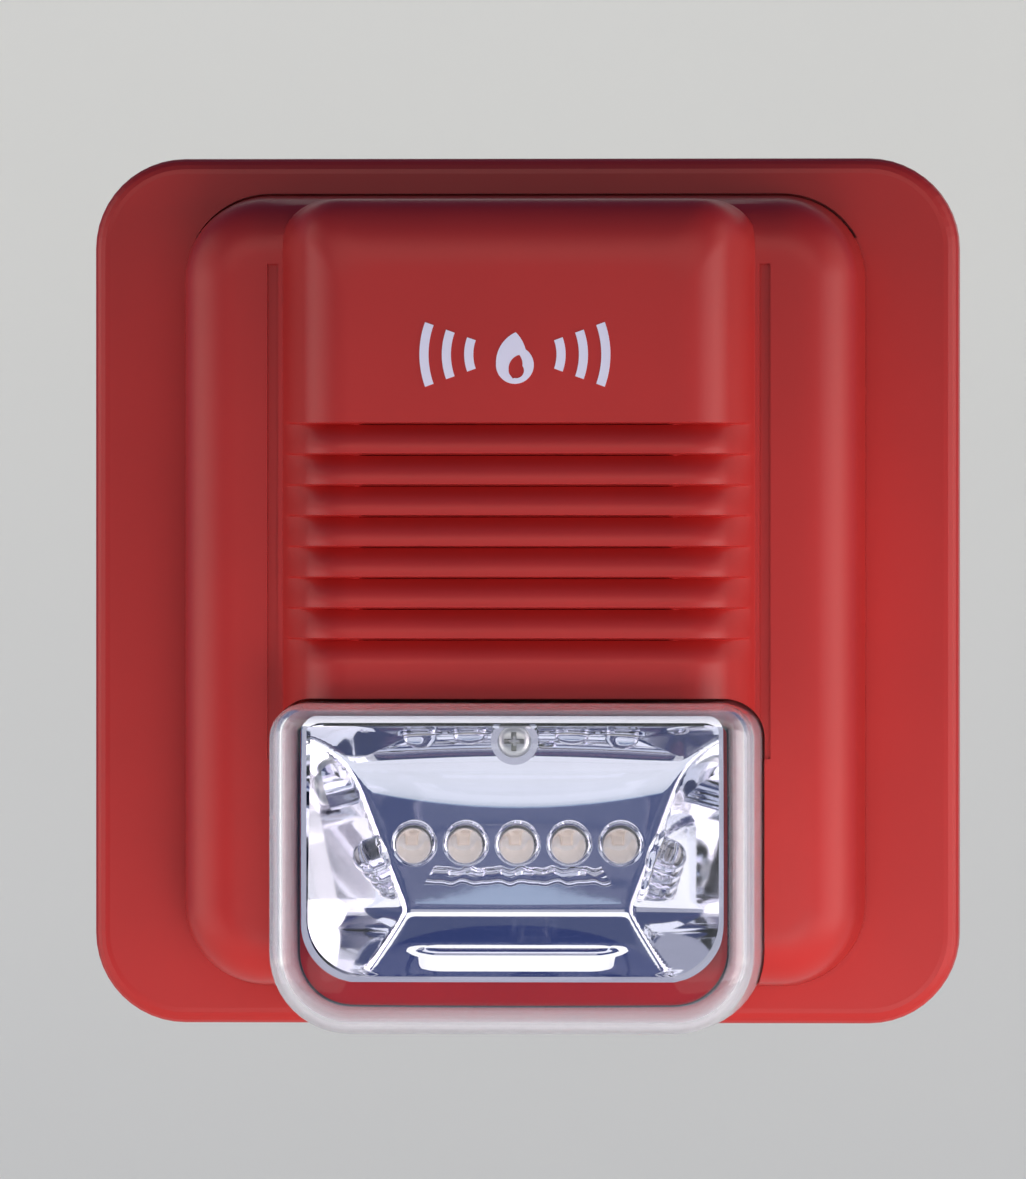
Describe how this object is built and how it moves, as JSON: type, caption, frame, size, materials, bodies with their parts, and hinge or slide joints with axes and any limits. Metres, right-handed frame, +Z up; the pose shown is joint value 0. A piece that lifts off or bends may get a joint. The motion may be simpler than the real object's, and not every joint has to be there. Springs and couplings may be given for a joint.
{
  "type": "horn strobe",
  "caption": "Wall-mounted fire alarm horn strobe: square back plate, swing-down front with louvred sounder and a clear-lensed flashing lamp row.",
  "frame": {"origin": "centre of the back plate's rear face, on the wall plane", "axes": "+Z up the wall, +Y into the wall, so the front faces -Y and +X is the viewer's right"},
  "size_m": [0.125, 0.05, 0.1258],
  "materials": {
    "red_plastic": "satin moulded red",
    "terminal_green": "matt",
    "zinc_steel": "zinc plated",
    "brass": "satin",
    "spring_brass": "satin strip",
    "white_print": "printed, slightly raised",
    "black_mesh": "fine woven mesh",
    "black_plastic": "matt moulded",
    "piezo_white": "silvered ceramic",
    "wire_red": "wire sleeve",
    "nylon_white": "natural nylon",
    "board_green": "solder mask",
    "gold_plate": "gold plated copper",
    "ferrite": "sintered ferrite",
    "copper_wire": "enamelled copper wire",
    "capacitor_sleeve": "shrink sleeve",
    "epoxy_black": "moulded epoxy",
    "resistor_tan": "lacquered",
    "switch_blue": "moulded",
    "board_white": "white solder mask",
    "led_epoxy": "water clear epoxy",
    "tinned_wire": "tinned",
    "reflector_chrome": "vacuum metallised",
    "clear_lens": "clear polycarbonate",
    "gasket_rubber": "closed cell foam"
  },
  "bodies": {
    "base": {"base_plate": "red_plastic", "terminal_block": "terminal_green", "terminal_block_screws": "zinc_steel", "terminal_screws": "zinc_steel", "wire_clamps": "brass", "contact_springs": "spring_brass"},
    "front_unit": {"front_housing": "red_plastic", "alarm_symbol": "white_print", "sound_screen": "black_mesh", "sounder_cup": "black_plastic", "piezo_disc": "brass", "piezo_ceramic": "piezo_white", "sounder_retainer": "black_plastic", "sounder_screws": "zinc_steel", "sounder_wires": "wire_red", "sounder_plug": "nylon_white", "sounder_header": "nylon_white", "main_board": "board_green", "main_board_screws": "zinc_steel", "contact_pads": "gold_plate", "transformer_core": "ferrite", "transformer_winding": "copper_wire", "capacitors": "capacitor_sleeve", "controller_chip": "epoxy_black", "drive_transistors": "epoxy_black", "resistors": "resistor_tan", "diodes": "epoxy_black", "dip_switch_body": "switch_blue", "led_header": "nylon_white", "led_plug": "nylon_white", "led_wires": "wire_red", "led_board": "board_white", "led_board_screws": "zinc_steel", "led_1": "led_epoxy", "led_2": "led_epoxy", "led_3": "led_epoxy", "led_4": "led_epoxy", "led_5": "led_epoxy", "led_leads": "tinned_wire", "reflector": "reflector_chrome", "reflector_screw": "zinc_steel", "lens": "clear_lens", "lens_gasket": "gasket_rubber"},
    "dip_1": {"dip_slider_1": "nylon_white"},
    "dip_2": {"dip_slider_2": "nylon_white"},
    "clamp_washer": {"lock_washer": "zinc_steel"},
    "clamp_screw": {"lock_screw": "zinc_steel"}
  },
  "joints": [
    {"name": "front_swing", "type": "hinge", "parent": "base", "child": "front_unit", "pos_m": [0, -0.0105, 0.052], "axis": [-1, 0, 0], "range_deg": [0, 30]},
    {"name": "dip_1_slide", "type": "slide", "parent": "front_unit", "child": "dip_1", "axis": [1, 0, 0], "range_m": [0, 0.0018]},
    {"name": "dip_2_slide", "type": "slide", "parent": "front_unit", "child": "dip_2", "axis": [1, 0, 0], "range_m": [0, 0.0018]},
    {"name": "clamp_feed", "type": "slide", "parent": "front_unit", "child": "clamp_washer", "axis": [0, 0, -1], "range_m": [0, 0.0015]},
    {"name": "clamp_turn", "type": "hinge", "parent": "clamp_washer", "child": "clamp_screw", "pos_m": [0, -0.0112, -0.0605], "axis": [0, 0, -1], "range_deg": [0, 1080]}
  ],
  "couplings": [
    {"joint": "clamp_turn", "follows": "clamp_feed", "rad_per_m": 12566}
  ]
}
